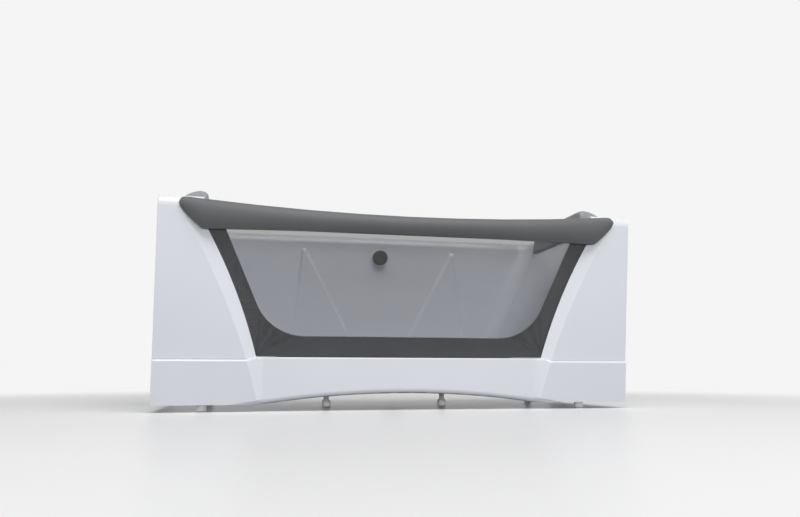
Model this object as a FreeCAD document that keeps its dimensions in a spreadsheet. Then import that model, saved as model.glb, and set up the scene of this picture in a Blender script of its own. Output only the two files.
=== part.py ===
import FreeCAD, Part
import math
import os
import re
import Sketcher
from FreeCAD import Placement, Rotation, Vector

# A glass-front bath: X runs along the bath, Y from the front window to the wall, Z up from the floor.
# The origin lies on the floor under the middle of the rim. Lengths are in millimetres, angles in degrees.

SIZES = {
    # Whole bath
    "tub_length": 1700, "tub_depth": 750, "rim_height": 715, "rim_edge": 40, "rim_round": 34, "rim_lip": 10,
    "pocket_inset": 35, "pocket_front": 75, "front_lean": 8.25, "running_fit": 0.05, "soft_gap": 0.4,
    "overrun": 6,
    # Basin moulding
    "shell_wall": 8, "floor_height": 205, "end_deck": 130, "end_run": 250, "rear_deck": 160,
    "corner_round": 60, "floor_round": 55, "lip_round": 38, "facet_proud": 12, "facet_drop": 55,
    "facet_apex_inset": 145, "facet_tip": 24, "facet_inner": 73, "facet_outer_inset": 86,
    # Front columns: the width of their front face, and of the splayed side that runs in to the glass
    "relief": 18, "column_low_width": 351, "column_high_width": 43, "column_edge_bow": 35.5,
    "bevel_low_width": 22, "bevel_high_width": 50, "bevel_edge_bow": 44, "ridge_round": 4,
    "strip_low_width": 29, "strip_edge_bow": 71,
    # Plinth and end panels
    "seam_height": 175, "seam_bevel": 8, "plinth_proud": 6, "plinth_clear": 23, "plinth_thick": 23,
    "plinth_middle": 182.5, "plinth_lean": 4.5, "plinth_spare": 26, "plinth_brow": 5, "plinth_lap": 1.5,
    "arch_inset": 246, "arch_rise": 53, "arch_roll": 19, "panel_sheet": 6,
    # Window: heights are measured up the leaning front, insets from the ends of the bath
    "glass_thick": 10, "frame_thick": 4, "seal_thick": 3, "glass_low": 183, "glass_drop": 54,
    "glass_low_inset": 327, "glass_high_inset": 121, "window_low": 252, "window_drop": 93,
    "window_low_inset": 379, "window_high_inset": 216, "window_round": 180, "wall_drop": 60,
    # Top rail
    "rail_low_drop": 106.5, "rail_bow": 8, "rail_low_inset": 147, "rail_tip_drop": 22, "rail_inset": 69,
    "rail_dip": 34, "rail_proud": 24, "rail_foot": 14, "rail_deep": 55,
    "rail_body_inset": 150, "rail_leg_inset": 225, "rail_gap": 3, "rail_crown": 12, "rail_crest": 6,
    "rail_tip_round": 17, "rail_bolt_radius": 3, "rail_bolt_head": 5.5, "rail_bolt_thick": 4,
    "rail_bolt_reach": 14, "rail_bolt_inset": 108, "rail_bolt_drop": 51,
    # Headrests
    "headrest_front": 95, "headrest_back": 219, "headrest_inset": 55, "headrest_width": 98,
    "headrest_crown": 25, "headrest_rise": 43, "headrest_edge": 6, "headrest_hem": 5, "headrest_tuck": 13,
    "headrest_draw": 10, "peg_radius": 5, "peg_inset": 19, "peg_head": 8, "peg_head_thick": 4,
    # Steel frame
    "tube": 30, "tube_wall": 2, "rail_front_inset": 57, "rail_rear_inset": 97, "post_inset": 60,
    "cross_outer_inset": 160, "cross_inner_x": 235, "board_thick": 18, "board_inset": 40,
    "board_front_inset": 190, "board_back_inset": 220, "board_gap": 4, "spacer_height": 20, "spacer_low": 300,
    "spacer_drop": 115, "bracket_low": 230, "bracket_drop": 125, "bracket_thick": 4, "clip_inset": 420,
    "clip_length": 60,
    # Levelling feet
    "stem_radius": 10, "stem_drop": 40, "stem_clear": 0.5, "pad_radius": 17, "pad_height": 20, "pad_edge": 2,
    "pad_neck": 11.5, "pad_shoulder": 8, "nut_radius": 18, "nut_height": 12, "lock_nut_height": 8,
    "foot_middle_inset": 296,
    # Waste
    "waste_inset": 315, "waste_bore": 22, "waste_flange": 36, "waste_lip": 3, "waste_sleeve": 26,
    "sleeve_length": 24, "plug_radius": 31, "plug_thick": 6, "plug_stem": 4, "waste_cup": 34,
    "waste_cup_drop": 78, "cup_wall": 4, "gasket_thick": 3, "spider_width": 4, "spider_thick": 4,
    "spider_hub": 8, "pipe_radius": 20, "pipe_wall": 2, "trap_radius": 30, "trap_drop": 105,
    "trap_stub": 20, "elbow_radius": 25, "nut_ring": 7, "nut_ring_length": 18, "outlet_inset": 30,
    "outlet_step": 0.5,
    # Overflow
    "overflow_drop": 95, "overflow_bore": 28, "overflow_flange": 31, "overflow_lip": 4, "overflow_cup": 38,
    "overflow_body_length": 42, "knob_radius": 32, "knob_thick": 14, "knob_gap": 10, "knob_round": 5,
    "spindle": 5, "hose_radius": 12, "hose_crest": 2, "hose_wall": 2, "hose_pitch": 15, "hose_bend": 60,
    "hose_drop": 41, "hose_cuff": 20, "cable_radius": 3, "cable_x": 26, "cable_bend": 80, "cable_boss": 6,
    "boss_reach": 12,
}

# Places and lengths that follow the length, depth and height of the bath.
TIES = {
    "facet_top": "rim_height - facet_drop",
    "glass_high": "rim_height - glass_drop",
    "window_high": "rim_height - window_drop",
    "wall_top": "rim_height - wall_drop",
    "rail_end_high": "rim_height",
    "rail_tip": "rim_height - rail_tip_drop",
    "rail_low": "rim_height - rail_low_drop",
    "rail_bolt_height": "rim_height - rail_bolt_drop",
    "spacer_high": "rim_height - spacer_drop",
    "bracket_high": "rim_height - bracket_drop",
    "overflow_height": "rim_height - overflow_drop",
    "stem_top": "floor_height - stem_drop",
    "waste_cup_low": "floor_height - waste_cup_drop",
    "trap_height": "floor_height - trap_drop",
    "hose_height": "floor_height - hose_drop",
    "opening_length": "tub_length - end_deck * 2",
    "floor_length": "opening_length - end_run * 2",
    "facet_apex": "floor_length / 2 - facet_apex_inset",
    "facet_outer": "floor_length / 2 - facet_outer_inset",
    "column_edge_low": "tub_length / 2 - column_low_width",
    "column_edge_high": "tub_length / 2 - column_high_width",
    "bevel_edge_low": "column_edge_low - bevel_low_width",
    "bevel_edge_high": "column_edge_high - bevel_high_width",
    "strip_edge_low": "column_edge_low - strip_low_width",
    "strip_edge_high": "bevel_edge_high",
    "plinth_middle_length": "column_edge_low * 2 + plinth_spare",
    "arch_length": "tub_length - arch_inset * 2",
    "glass_low_length": "tub_length - glass_low_inset * 2",
    "glass_high_length": "tub_length - glass_high_inset * 2",
    "window_low_length": "tub_length - window_low_inset * 2",
    "window_high_length": "tub_length - window_high_inset * 2",
    "rail_low_length": "tub_length - rail_low_inset * 2",
    "rail_length": "tub_length - rail_inset * 2",
    "rail_body_length": "tub_length - rail_body_inset * 2",
    "rail_leg_length": "tub_length - rail_leg_inset * 2",
    "rail_bolt_x": "tub_length / 2 - rail_bolt_inset",
    "headrest_length": "tub_depth - headrest_front - headrest_back",
    "headrest_y": "(headrest_front - headrest_back) / 2",
    "headrest_outer": "tub_length / 2 - headrest_inset",
    "headrest_face": "headrest_outer - headrest_width",
    "headrest_peak": "headrest_face + headrest_crown",
    "peg_x": "headrest_outer - peg_inset",
    "peg_spread": "headrest_length / 2",
    "rail_front_y": "(rim_height - rim_edge) * tan(front_lean) + rail_front_inset - tub_depth / 2",
    "rail_rear_y": "tub_depth / 2 - rail_rear_inset",
    "post_x": "tub_length / 2 - post_inset",
    "cross_outer_x": "tub_length / 2 - cross_outer_inset",
    "board_length": "floor_length - board_inset * 2",
    "board_front": "board_front_inset - tub_depth / 2",
    "board_back": "tub_depth / 2 - board_back_inset",
    "clip_x": "tub_length / 2 - clip_inset",
    "foot_middle_y": "tub_depth / 2 - foot_middle_inset",
    "waste_y": "tub_depth / 2 - waste_inset",
}
FORMULAS = {**SIZES, **{alias: "=" + text for alias, text in TIES.items()}}

doc = FreeCAD.newDocument("glass_front_bath")
sheet = doc.addObject("Spreadsheet::Sheet", "Sizes")
for row, (alias, formula) in enumerate(FORMULAS.items(), start=1):
    sheet.set("A%d" % row, alias)
    sheet.set("B%d" % row, str(formula))
    sheet.setAlias("B%d" % row, alias)
doc.recompute()


def value(text):
    """The number that a formula of sheet names gives."""
    return float(sheet.evalExpression(text))


def bound(text):
    """The formula with each sheet name written as a reference to its cell."""
    return re.sub(r"[a-z_]+", lambda word: "Sizes." + word[0] if word[0] in FORMULAS else word[0], text)


def bind(item, formulas):
    """Ties properties of an object to formulas of the sheet."""
    for name, text in formulas.items():
        item.setExpression(name, bound(text))


def seat(item, x="0", y="0", z="0", axis=Vector(0, 0, 1), turn=0):
    """Places an object at three formulas, turned about an axis by whole degrees or a formula."""
    angle = value(turn) if isinstance(turn, str) else turn
    item.Placement = Placement(Vector(value(x), value(y), value(z)), Rotation(axis, angle))
    bind(item, {"Placement.Base.x": x, "Placement.Base.y": y, "Placement.Base.z": z})
    if isinstance(turn, str):
        bind(item, {"Placement.Rotation.Angle": turn})
    return item


def front_y(height, depth="0"):
    """Y of the leaning front at a height, a depth behind the column faces."""
    lean = "(rim_height - rim_edge - (%s)) * tan(front_lean)" % height
    return "%s - tub_depth / 2 + (%s) / cos(front_lean)" % (lean, depth)


def lean_on_front(item):
    """Stands an object, drawn upright at Y zero, on the leaning front of the bath."""
    return seat(item, y=front_y("0"), axis=Vector(1, 0, 0), turn="front_lean")


def box(name, low, high):
    """A box between two corners."""
    item = doc.addObject("Part::Box", name)
    sides = ["(%s) - (%s)" % (far, near) for near, far in zip(low, high)]
    bind(item, dict(zip(("Length", "Width", "Height"), sides)))
    return seat(item, *low)


def centred(middle, width):
    """The two ends of a width about a middle."""
    return "(%s) - (%s) / 2" % (middle, width), "(%s) + (%s) / 2" % (middle, width)


TURNS = {"X": (Vector(0, 1, 0), 90), "Y": (Vector(1, 0, 0), -90), "Z": (Vector(0, 0, 1), 0)}


def cylinder(name, radius, length, x="0", y="0", z="0", along="Z"):
    """A round bar that starts at a point and runs along an axis."""
    item = doc.addObject("Part::Cylinder", name)
    bind(item, {"Radius": radius, "Height": length})
    axis, turn = TURNS[along]
    return seat(item, x, y, z, axis, turn)


def joined(kind, name, items):
    item = doc.addObject(kind, name)
    item.Shapes = items
    return item


def fuse(name, *items):
    return joined("Part::MultiFuse", name, list(items))


def common(name, *items):
    return joined("Part::MultiCommon", name, list(items))


def cut(name, base, *tools):
    """The base without the tools."""
    item = doc.addObject("Part::Cut", name)
    item.Base = base
    item.Tool = tools[0] if len(tools) == 1 else fuse(name + "_tools", *tools)
    return item


def group(name, items):
    """Separate solids of one kind, kept side by side under one name."""
    item = doc.addObject("Part::Compound", name)
    item.Links = items
    return item


def mirrored(name, source):
    """The source on the other side of the middle of the bath."""
    item = doc.addObject("Part::Mirroring", name)
    item.Source = source
    item.Normal = Vector(1, 0, 0)
    return item


def tube(name, radius, wall, length, **place):
    """A pipe: a round bar with its bore."""
    bar = cylinder(name + "_bar", radius, length, **place)
    bore = cylinder(name + "_bore", "%s - (%s)" % (radius, wall), length, **place)
    return cut(name, bar, bore)


def outline(body, name, corners, role="XZ_Plane", offset="0"):
    """A closed sketch through corners (x, y); a corner (x, y, via x, via y) starts an arc to the next."""
    sketch = body.newObject("Sketcher::SketchObject", name)
    plane = next(item for item in body.Origin.OriginFeatures if item.Role == role)
    sketch.AttachmentSupport = [(plane, "")]
    sketch.MapMode = "FlatFace"
    bind(sketch, {"AttachmentOffset.Base.z": offset})

    def fix(edge, end, x, y):
        point = sketch.getPoint(edge, end)
        for kind, number, text in (("DistanceX", point.x, x), ("DistanceY", point.y, y)):
            index = sketch.addConstraint(Sketcher.Constraint(kind, -1, 1, edge, end, number))
            bind(sketch, {"Constraints[%d]" % index: text})

    points = [Vector(value(corner[0]), value(corner[1])) for corner in corners]
    edges = []
    for corner, start, end in zip(corners, points, points[1:] + points[:1]):
        if len(corner) == 2:
            edge = sketch.addGeometry(Part.LineSegment(start, end))
        else:
            via = Vector(value(corner[2]), value(corner[3]))
            edge = sketch.addGeometry(Part.Arc(start, via, end))
            guide = sketch.addGeometry(Part.Point(via), True)
            fix(guide, 1, corner[2], corner[3])
            sketch.addConstraint(Sketcher.Constraint("PointOnObject", guide, 1, edge))
        near = min((1, 2), key=lambda tip: sketch.getPoint(edge, tip).distanceToPoint(start))
        edges.append((edge, near, 3 - near))
    for corner, this, before in zip(corners, edges, edges[-1:] + edges[:-1]):
        fix(this[0], this[1], corner[0], corner[1])
        sketch.addConstraint(Sketcher.Constraint("Coincident", before[0], before[2], this[0], this[1]))
    return sketch


def new_body(name):
    return doc.addObject("PartDesign::Body", name)


def pad(body, name, sketch, length, towards_back=True):
    """A slab raised from a sketch; an upright sketch's slab grows towards the wall."""
    item = body.newObject("PartDesign::Pad", name)
    item.Profile = sketch
    item.Reversed = towards_back
    bind(item, {"Length": length})
    return item


def loft(body, name, first, second):
    """A solid of straight rulings between two sketches."""
    item = body.newObject("PartDesign::AdditiveLoft", name)
    item.Profile = first
    item.Sections = [second]
    item.Ruled = True
    return item


def round_edges(body, name, radius, chosen):
    """Rounds the edges of a body that pass a test on their two ends."""
    doc.recompute()
    base = body.Tip
    names = []
    for number, edge in enumerate(base.Shape.Edges, start=1):
        if chosen(edge):
            names.append("Edge%d" % number)
    item = body.newObject("PartDesign::Fillet", name)
    item.Base = (base, names)
    bind(item, {"Radius": radius})
    doc.recompute()
    return item


NEAR = 1e-3


def at(number, text):
    """Whether a coordinate lies at the value of a formula."""
    return abs(number - value(text)) < NEAR * max(1, abs(number))


def ends_at(edge, axis, text):
    """Whether both ends of an edge lie at one coordinate."""
    return all(at(getattr(vertex.Point, axis), text) for vertex in edge.Vertexes)


def lathe(name, profile, x="0", y="0", z="0", along="Z"):
    """A solid turned from a half profile of (radius, height) corners."""
    body = new_body(name)
    sketch = outline(body, name + "_profile", profile)
    item = body.newObject("PartDesign::Revolution", name + "_turn")
    item.Profile = sketch
    item.ReferenceAxis = (sketch, ["V_Axis"])
    axis, turn = TURNS[along]
    return seat(body, x, y, z, axis, turn)


# Window opening: a trapezium with rounded lower corners, as a tool that pierces frame, seal and front wall.
window = new_body("window_opening")
pad(window, "window_block", outline(window, "window_outline", [
    ("-window_low_length / 2", "window_low"), ("window_low_length / 2", "window_low"),
    ("window_high_length / 2", "window_high"), ("-window_high_length / 2", "window_high")]),
    "relief + glass_thick + frame_thick + seal_thick + shell_wall + overrun")
round_edges(window, "window_corners", "window_round", lambda edge: ends_at(edge, "z", "window_low")
            and at(edge.Vertexes[0].X, "%s" % edge.Vertexes[1].X))
lean_on_front(window)

# Basin moulding: a wedge-shaped bowl under a broad rim, with a leaning front wall that carries the window.
GLAZING_DEPTH = "relief + glass_thick + frame_thick + seal_thick"
BACK_Y = "tub_depth / 2 - rear_deck"
FLOOR_UNDER = "floor_height - shell_wall"


def wedge(body, kind, name, low, high, wall, front):
    """A bowl with sloping ends and a leaning front, between two heights."""
    item = body.newObject("PartDesign::" + kind, name)
    item.Placement = Placement(Vector(), Rotation(Vector(1, 0, 0), 90))
    bind(item, {
        "Ymin": low, "Ymax": high,
        "Xmin": "-floor_length / 2 - (%s)" % wall, "Xmax": "floor_length / 2 + (%s)" % wall,
        "Zmin": "-(%s) - (%s)" % (BACK_Y, wall), "Zmax": "-(%s)" % front_y(low, front),
        "X2min": "-opening_length / 2 - (%s)" % wall, "X2max": "opening_length / 2 + (%s)" % wall,
        "Z2min": "-(%s) - (%s)" % (BACK_Y, wall), "Z2max": "-(%s)" % front_y(high, front)})
    return item


def is_back_corner(low, wall):
    """Tests for the two sloping edges where the back wall meets the ends."""
    def test(edge):
        heights = [vertex.Z for vertex in edge.Vertexes]
        return ends_at(edge, "y", "%s + (%s)" % (BACK_Y, wall)) and at(min(heights), low) \
            and at(max(heights), "rim_height")
    return test


def is_floor_edge(low, front):
    """Tests for the edges round a floor, apart from the one under the window."""
    def test(edge):
        return ends_at(edge, "z", low) and not ends_at(edge, "y", front_y(low, front))
    return test


CAVITY_DEPTH = GLAZING_DEPTH + " + shell_wall"
cavity = new_body("basin_cavity")
wedge(cavity, "AdditiveWedge", "cavity_block", "floor_height", "rim_height", "0", CAVITY_DEPTH)
round_edges(cavity, "cavity_corners", "corner_round", is_back_corner("floor_height", "0"))
round_edges(cavity, "cavity_floor", "floor_round", is_floor_edge("floor_height", CAVITY_DEPTH))

moulding = new_body("basin_moulding")
wedge(moulding, "AdditiveWedge", "bowl", FLOOR_UNDER, "rim_height", "shell_wall", GLAZING_DEPTH)
round_edges(moulding, "bowl_corners", "corner_round + shell_wall", is_back_corner(FLOOR_UNDER, "shell_wall"))
round_edges(moulding, "bowl_floor", "floor_round + shell_wall", is_floor_edge(FLOOR_UNDER, GLAZING_DEPTH))
rim = moulding.newObject("PartDesign::AdditiveBox", "rim")
bind(rim, {"Length": "tub_length", "Width": "tub_depth", "Height": "rim_edge"})
seat(rim, "-tub_length / 2", "-tub_depth / 2", "rim_height - rim_edge")
hollow = moulding.newObject("PartDesign::Boolean", "hollow")
hollow.Type = "Cut"
hollow.setObjects([cavity])
round_edges(moulding, "opening_lip", "lip_round", lambda edge: ends_at(edge, "z", "rim_height")
            and max(vertex.Y for vertex in edge.Vertexes) < value(BACK_Y) + NEAR
            and min(vertex.Y for vertex in edge.Vertexes) > value("-tub_depth / 2") + NEAR
            and not ends_at(edge, "y", front_y("rim_height", CAVITY_DEPTH)))
round_edges(moulding, "rim_front", "rim_round", lambda edge: ends_at(edge, "z", "rim_height")
            and ends_at(edge, "y", "-tub_depth / 2"))
round_edges(moulding, "rim_ends", "ridge_round", lambda edge: not ends_at(edge, "y", "tub_depth / 2")
            and (ends_at(edge, "x", "tub_length / 2") or ends_at(edge, "x", "-tub_length / 2"))
            and max(vertex.Z for vertex in edge.Vertexes) > value("rim_height - rim_edge") + NEAR)

# Facets on the back wall: two shallow wedges, chamfered all round, that narrow to a tip under the rim.
facet = new_body("back_facet")
loft(facet, "facet_wedge", outline(facet, "facet_root", [
    ("facet_apex - facet_tip / 2", "facet_top"), ("facet_apex + facet_tip / 2", "facet_top"),
    ("facet_outer", "floor_height"), ("facet_inner", "floor_height")], offset="-shell_wall / 2"),
    outline(facet, "facet_face", [
        ("facet_apex - facet_tip / 8", "facet_top - facet_tip"),
        ("facet_apex + facet_tip / 8", "facet_top - facet_tip"),
        ("facet_outer - facet_tip", "floor_height"), ("facet_inner + facet_tip", "floor_height")],
        offset="facet_proud"))
seat(facet, y=BACK_Y)

# Cut-outs of the shell: the hollow under the rim, room for the top rail, the window, the drains and the pegs.
RIM_UNDER = "rim_height - shell_wall"
pocket_block = box("rim_pocket_block", ("-tub_length / 2 + rim_lip", "-tub_depth / 2 + pocket_front",
                                        "rim_height - rim_edge - overrun"),
                   ("tub_length / 2 - rim_lip", "tub_depth / 2 - rim_lip", RIM_UNDER))
pocket_core = box("rim_pocket_core", ("-opening_length / 2 - pocket_inset", "-tub_depth / 2",
                                      "rim_height - rim_edge - overrun * 2"),
                  ("opening_length / 2 + pocket_inset", BACK_Y + " + pocket_inset", "rim_height"))
rim_pocket = cut("rim_pocket", pocket_block, pocket_core)
RAIL_ROOM = "rail_body_length / 2 + rail_gap"
rail_room = box("rail_room", ("-(%s)" % RAIL_ROOM, "-tub_depth / 2 - overrun", "wall_top"),
                (RAIL_ROOM, front_y("wall_top", "rail_deep + overrun"), "rim_height + overrun"))
waste_hole = cylinder("waste_hole", "waste_sleeve + running_fit", "shell_wall + overrun * 2",
                      y="waste_y", z=FLOOR_UNDER + " - overrun")
overflow_hole = cylinder("overflow_hole", "overflow_bore + running_fit", "shell_wall + overrun * 2",
                         y=BACK_Y + " - overrun", z="overflow_height", along="Y")
peg_places = [(side, end) for side in ("-1", "1") for end in ("-1", "1")]
peg_holes = [cylinder("peg_hole_%d" % number, "peg_radius + running_fit", "shell_wall + overrun * 2",
                      "%s * peg_x" % side, "headrest_y + %s * peg_spread / 2" % end,
                      RIM_UNDER + " - overrun")
             for number, (side, end) in enumerate(peg_places)]
tub_shell = cut("tub_shell", fuse("faceted_moulding", moulding, facet, mirrored("back_facet_left", facet)),
                rim_pocket, rail_room, window, waste_hole, overflow_hole, *peg_holes)

# Front columns: a leaning slab whose inner side splays from the front face down to the glass.
FRONT_TOP = "rim_height / cos(front_lean)"


def column_outline(body, name, edge, outer, offset):
    """The column seen from the front, from its bowed inner edge to an upright outer one."""
    middle = "(%s_low + %s_high) / 2 - %s_bow" % (edge, edge, edge)
    return outline(body, name, [
        (edge + "_low", "0", middle, FRONT_TOP + " / 2"), (edge + "_high", FRONT_TOP),
        (outer, FRONT_TOP), (outer, "0")], offset=offset)


WITHIN_SLAB = "(column_edge_high + tub_length / 2) / 2"


def raised_front(name, inner_edge, proud="0"):
    """The right half of the raised front, whose side splays from the front face to an edge at its back."""
    body = new_body(name)
    face = column_outline(body, name + "_face", "column_edge", "tub_length / 2", proud)
    pad(body, name + "_slab", face, "relief + " + proud)
    round_edges(body, name + "_outer", "ridge_round", lambda edge: ends_at(edge, "y", "-" + proud)
                and ends_at(edge, "x", "tub_length / 2"))
    splay_front = column_outline(body, name + "_splay_front", "column_edge", WITHIN_SLAB, proud)
    splay_back = column_outline(body, name + "_splay_back", inner_edge, WITHIN_SLAB, "-relief")
    loft(body, name + "_splay", splay_front, splay_back)
    return lean_on_front(body)


relief = raised_front("column_relief", "bevel_edge")


def front_band(name, low, high):
    """The space behind the front between two heights, on the right half."""
    return box(name, ("0", "-tub_depth / 2 - overrun", low),
               ("tub_length / 2 + overrun", "rail_front_y", high))


bolt_places = ("-rail_bolt_x", "rail_bolt_x")


def bolt_shanks(name, radius):
    """Shanks of the bolts that hold the rail's ends, square to the leaning front."""
    shanks = []
    for number, place in enumerate(bolt_places):
        shank = new_body("%s_%d" % (name, number))
        sketch = outline(shank, "%s_round_%d" % (name, number), [
            ("%s - (%s)" % (place, radius), "rail_bolt_height", place, "rail_bolt_height + %s" % radius),
            ("%s + (%s)" % (place, radius), "rail_bolt_height", place, "rail_bolt_height - (%s)" % radius)],
            offset="rail_bolt_reach - relief")
        pad(shank, "%s_pad_%d" % (name, number), sketch, "rail_bolt_reach")
        shanks.append(lean_on_front(shank))
    return shanks


bolt_holes = bolt_shanks("bolt_hole", "rail_bolt_radius + running_fit")
column_right = cut("column_right", common("column_right_slab", relief, front_band(
    "column_band", "seam_height", "rim_height - rim_edge")), bolt_holes[1])
column_left = mirrored("column_left", column_right)

# Plinth: an arched apron whose middle leans less than the glass and whose ends carry the columns on down.


def lean_on_plinth(item):
    """Stands an object, drawn upright at Y zero, on the plinth's face, which meets the glass at the seam."""
    foot = "%s + seam_height * tan(plinth_lean)" % front_y("seam_height", "relief - plinth_lap")
    return seat(item, y=foot, axis=Vector(1, 0, 0), turn="plinth_lean")


plinth_slab = new_body("plinth_slab")
SLAB_DEPTH = "plinth_thick + plinth_lap"
SLAB_SIDE = "seam_height / cos(plinth_lean) - (%s) * tan(plinth_lean)" % SLAB_DEPTH
LIP_HALF = "arch_length / 2 * sqrt(1 - arch_roll / arch_rise)"
pad(plinth_slab, "plinth_sheet", outline(plinth_slab, "plinth_outline", [
    ("-tub_length / 2", "plinth_clear"),
    ("-(%s)" % LIP_HALF, "plinth_clear", "0", "plinth_clear + arch_rise - arch_roll"),
    (LIP_HALF, "plinth_clear"), ("tub_length / 2", "plinth_clear"), ("tub_length / 2", SLAB_SIDE),
    ("plinth_middle_length / 2", SLAB_SIDE), ("plinth_middle_length / 2", "plinth_middle"),
    ("-plinth_middle_length / 2", "plinth_middle"), ("-plinth_middle_length / 2", SLAB_SIDE),
    ("-tub_length / 2", SLAB_SIDE)]), SLAB_DEPTH)
round_edges(plinth_slab, "plinth_roll", "arch_roll", lambda edge: ends_at(edge, "y", "0")
            and edge.Curve.TypeId == "Part::GeomCircle")
round_edges(plinth_slab, "plinth_brow_round", "plinth_brow", lambda edge: ends_at(edge, "y", "0")
            and ends_at(edge, "z", "plinth_middle"))
lean_on_plinth(plinth_slab)
arch = new_body("arch_opening")
pad(arch, "arch_block", outline(arch, "arch_outline", [
    ("-arch_length / 2", "plinth_clear", "0", "plinth_clear + arch_rise"),
    ("arch_length / 2", "plinth_clear"), ("arch_length / 2", "0"), ("-arch_length / 2", "0")],
    offset="plinth_proud + overrun"),
    "relief + plinth_proud + overrun")
lean_on_front(arch)
seam_bevel = doc.addObject("Part::Box", "seam_bevel_tool")
BEVEL_TOOL = "seam_bevel * 2"
bind(seam_bevel, {"Length": "tub_length / 2 + overrun", "Width": BEVEL_TOOL, "Height": BEVEL_TOOL})
BEVEL_LOW = "seam_height - seam_bevel"
seat(seam_bevel, y=front_y(BEVEL_LOW, "-plinth_proud"), z=BEVEL_LOW, axis=Vector(1, 0, 0), turn=45)
plinth_band = front_band("plinth_band", "plinth_clear", "seam_height")
plinth_relief = raised_front("plinth_relief", "strip_edge", "plinth_proud")
foot_block = common("plinth_foot_slab", plinth_relief, plinth_band)
plinth_foot = cut("plinth_foot_right", foot_block, arch, seam_bevel)
plinth_front = fuse("plinth_front", plinth_slab, plinth_foot, mirrored("plinth_foot_left", plinth_foot))


def front_block(name, depth, stand):
    """All that lies before a plane at a depth behind the front, on which the stand function sets it."""
    block = new_body(name)
    sketch = outline(block, name + "_outline", [
        ("-tub_length / 2 - overrun", "0"), ("tub_length / 2 + overrun", "0"),
        ("tub_length / 2 + overrun", FRONT_TOP), ("-tub_length / 2 - overrun", FRONT_TOP)],
        offset="tub_depth / 2")
    pad(block, name + "_pad", sketch, "tub_depth / 2 + (%s)" % depth)
    return stand(block)


# End panels and end plinths: flat sheets that close the ends behind the columns.
behind_columns = front_block("before_column_back", "relief", lean_on_front)
behind_plinth = front_block("before_plinth_back", SLAB_DEPTH, lean_on_plinth)


def end_sheet(name, low, high, front):
    """A flat sheet on the right end, from the leaning front to the wall."""
    sheet_box = box(name + "_sheet", ("tub_length / 2 - panel_sheet", "-tub_depth / 2", low),
                    ("tub_length / 2", "tub_depth / 2", high))
    return cut(name, sheet_box, front)


end_panel_right = end_sheet("end_panel_right", "seam_height", "rim_height - rim_edge", behind_columns)
end_panel_left = mirrored("end_panel_left", end_panel_right)
plinth_right = end_sheet("plinth_right", "plinth_clear", "seam_height", behind_plinth)
plinth_left = mirrored("plinth_left", plinth_right)

# Glazing: pane, dark frame and seal, stacked on the leaning front wall of the shell.


def pane(name, depth, thickness):
    """A flat trapezium of the glass outline at a depth behind the column faces."""
    body = new_body(name)
    pad(body, name + "_pad", outline(body, name + "_outline", [
        ("-glass_low_length / 2", "glass_low"), ("glass_low_length / 2", "glass_low"),
        ("glass_high_length / 2", "glass_high"), ("-glass_high_length / 2", "glass_high")],
        offset="-(%s)" % depth), thickness)
    return lean_on_front(body)


glass_pane = pane("glass_pane", "relief", "glass_thick")
frame_blank = pane("frame_blank", "relief + glass_thick", "frame_thick")
glazing_frame = cut("glazing_frame", frame_blank, window)
seal_blank = pane("seal_blank", "relief + glass_thick + frame_thick", "seal_thick")
glazing_seal = cut("glazing_seal", seal_blank, window)

# Top rail: a moulded cap that dips towards the middle, bulges forward and ends in a pointed scroll.
# Shares along the scroll from the lower corner to the tip, of its rise there and of the fall of the top edge.
SCROLL_SHARES = ((0.0, 0.0, 0.0), (0.35, 0.25, 0.0), (0.6, 0.46, 0.0), (0.78, 0.63, 0.05), (0.89, 0.745, 0.2),
                 (0.97, 0.875, 0.58), (1.0, 0.97, 1.0))
MIDDLE_SHARES = (0.0, 0.25, 0.5, 0.75)
# Front curve of the cap: shares of its height and of its bulge.
BULGE_SHARES = ((0.18, 0.85), (0.42, 1.0), (0.68, 0.88), (0.88, 0.5))


def rail_top(x):
    """Height of the rail's top edge: a parabola that dips in the middle."""
    return value("rail_end_high") - value("rail_dip") * (1 - (x / value("rail_length / 2")) ** 2)


def rail_section(x, low, bulge_share, fall_share):
    """Closed section of the cap across X."""
    top = rail_top(x) - value("rail_tip_round") * fall_share
    height = top - low
    proud = value("rail_proud") * bulge_share
    back = value("relief - soft_gap")
    foot = Vector(x, -value("rail_foot") * bulge_share, low)
    crest = Vector(x, value("rail_crest"), top)
    curve = [foot]
    curve += [Vector(x, -proud * reach, low + height * share) for share, reach in BULGE_SHARES]
    curve += [crest]
    front = Part.BSplineCurve()
    front.interpolate(curve)
    corners = [crest, Vector(x, back, top), Vector(x, back, low), foot]
    sides = [Part.LineSegment(a, b).toShape() for a, b in zip(corners, corners[1:])]
    return Part.Wire([front.toShape()] + sides)


low_half = value("rail_low_length / 2")
scroll = value("rail_length / 2") - low_half
rise = value("rail_tip - rail_low")
stations = [(share * low_half, value("rail_low") + value("rail_bow") * (1 - share ** 2), 1.0, 0.0)
            for share in MIDDLE_SHARES]
stations += [(low_half + along * scroll, value("rail_low") + up * rise, 1 - along / 2, fall)
             for along, up, fall in SCROLL_SHARES]
stations = [(-x, *station) for x, *station in reversed(stations[1:])] + stations
rail_cap = doc.addObject("Part::Feature", "rail_cap")
rail_cap.Shape = Part.makeLoft([rail_section(*station) for station in stations], True, True)
lean_on_front(rail_cap)

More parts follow.
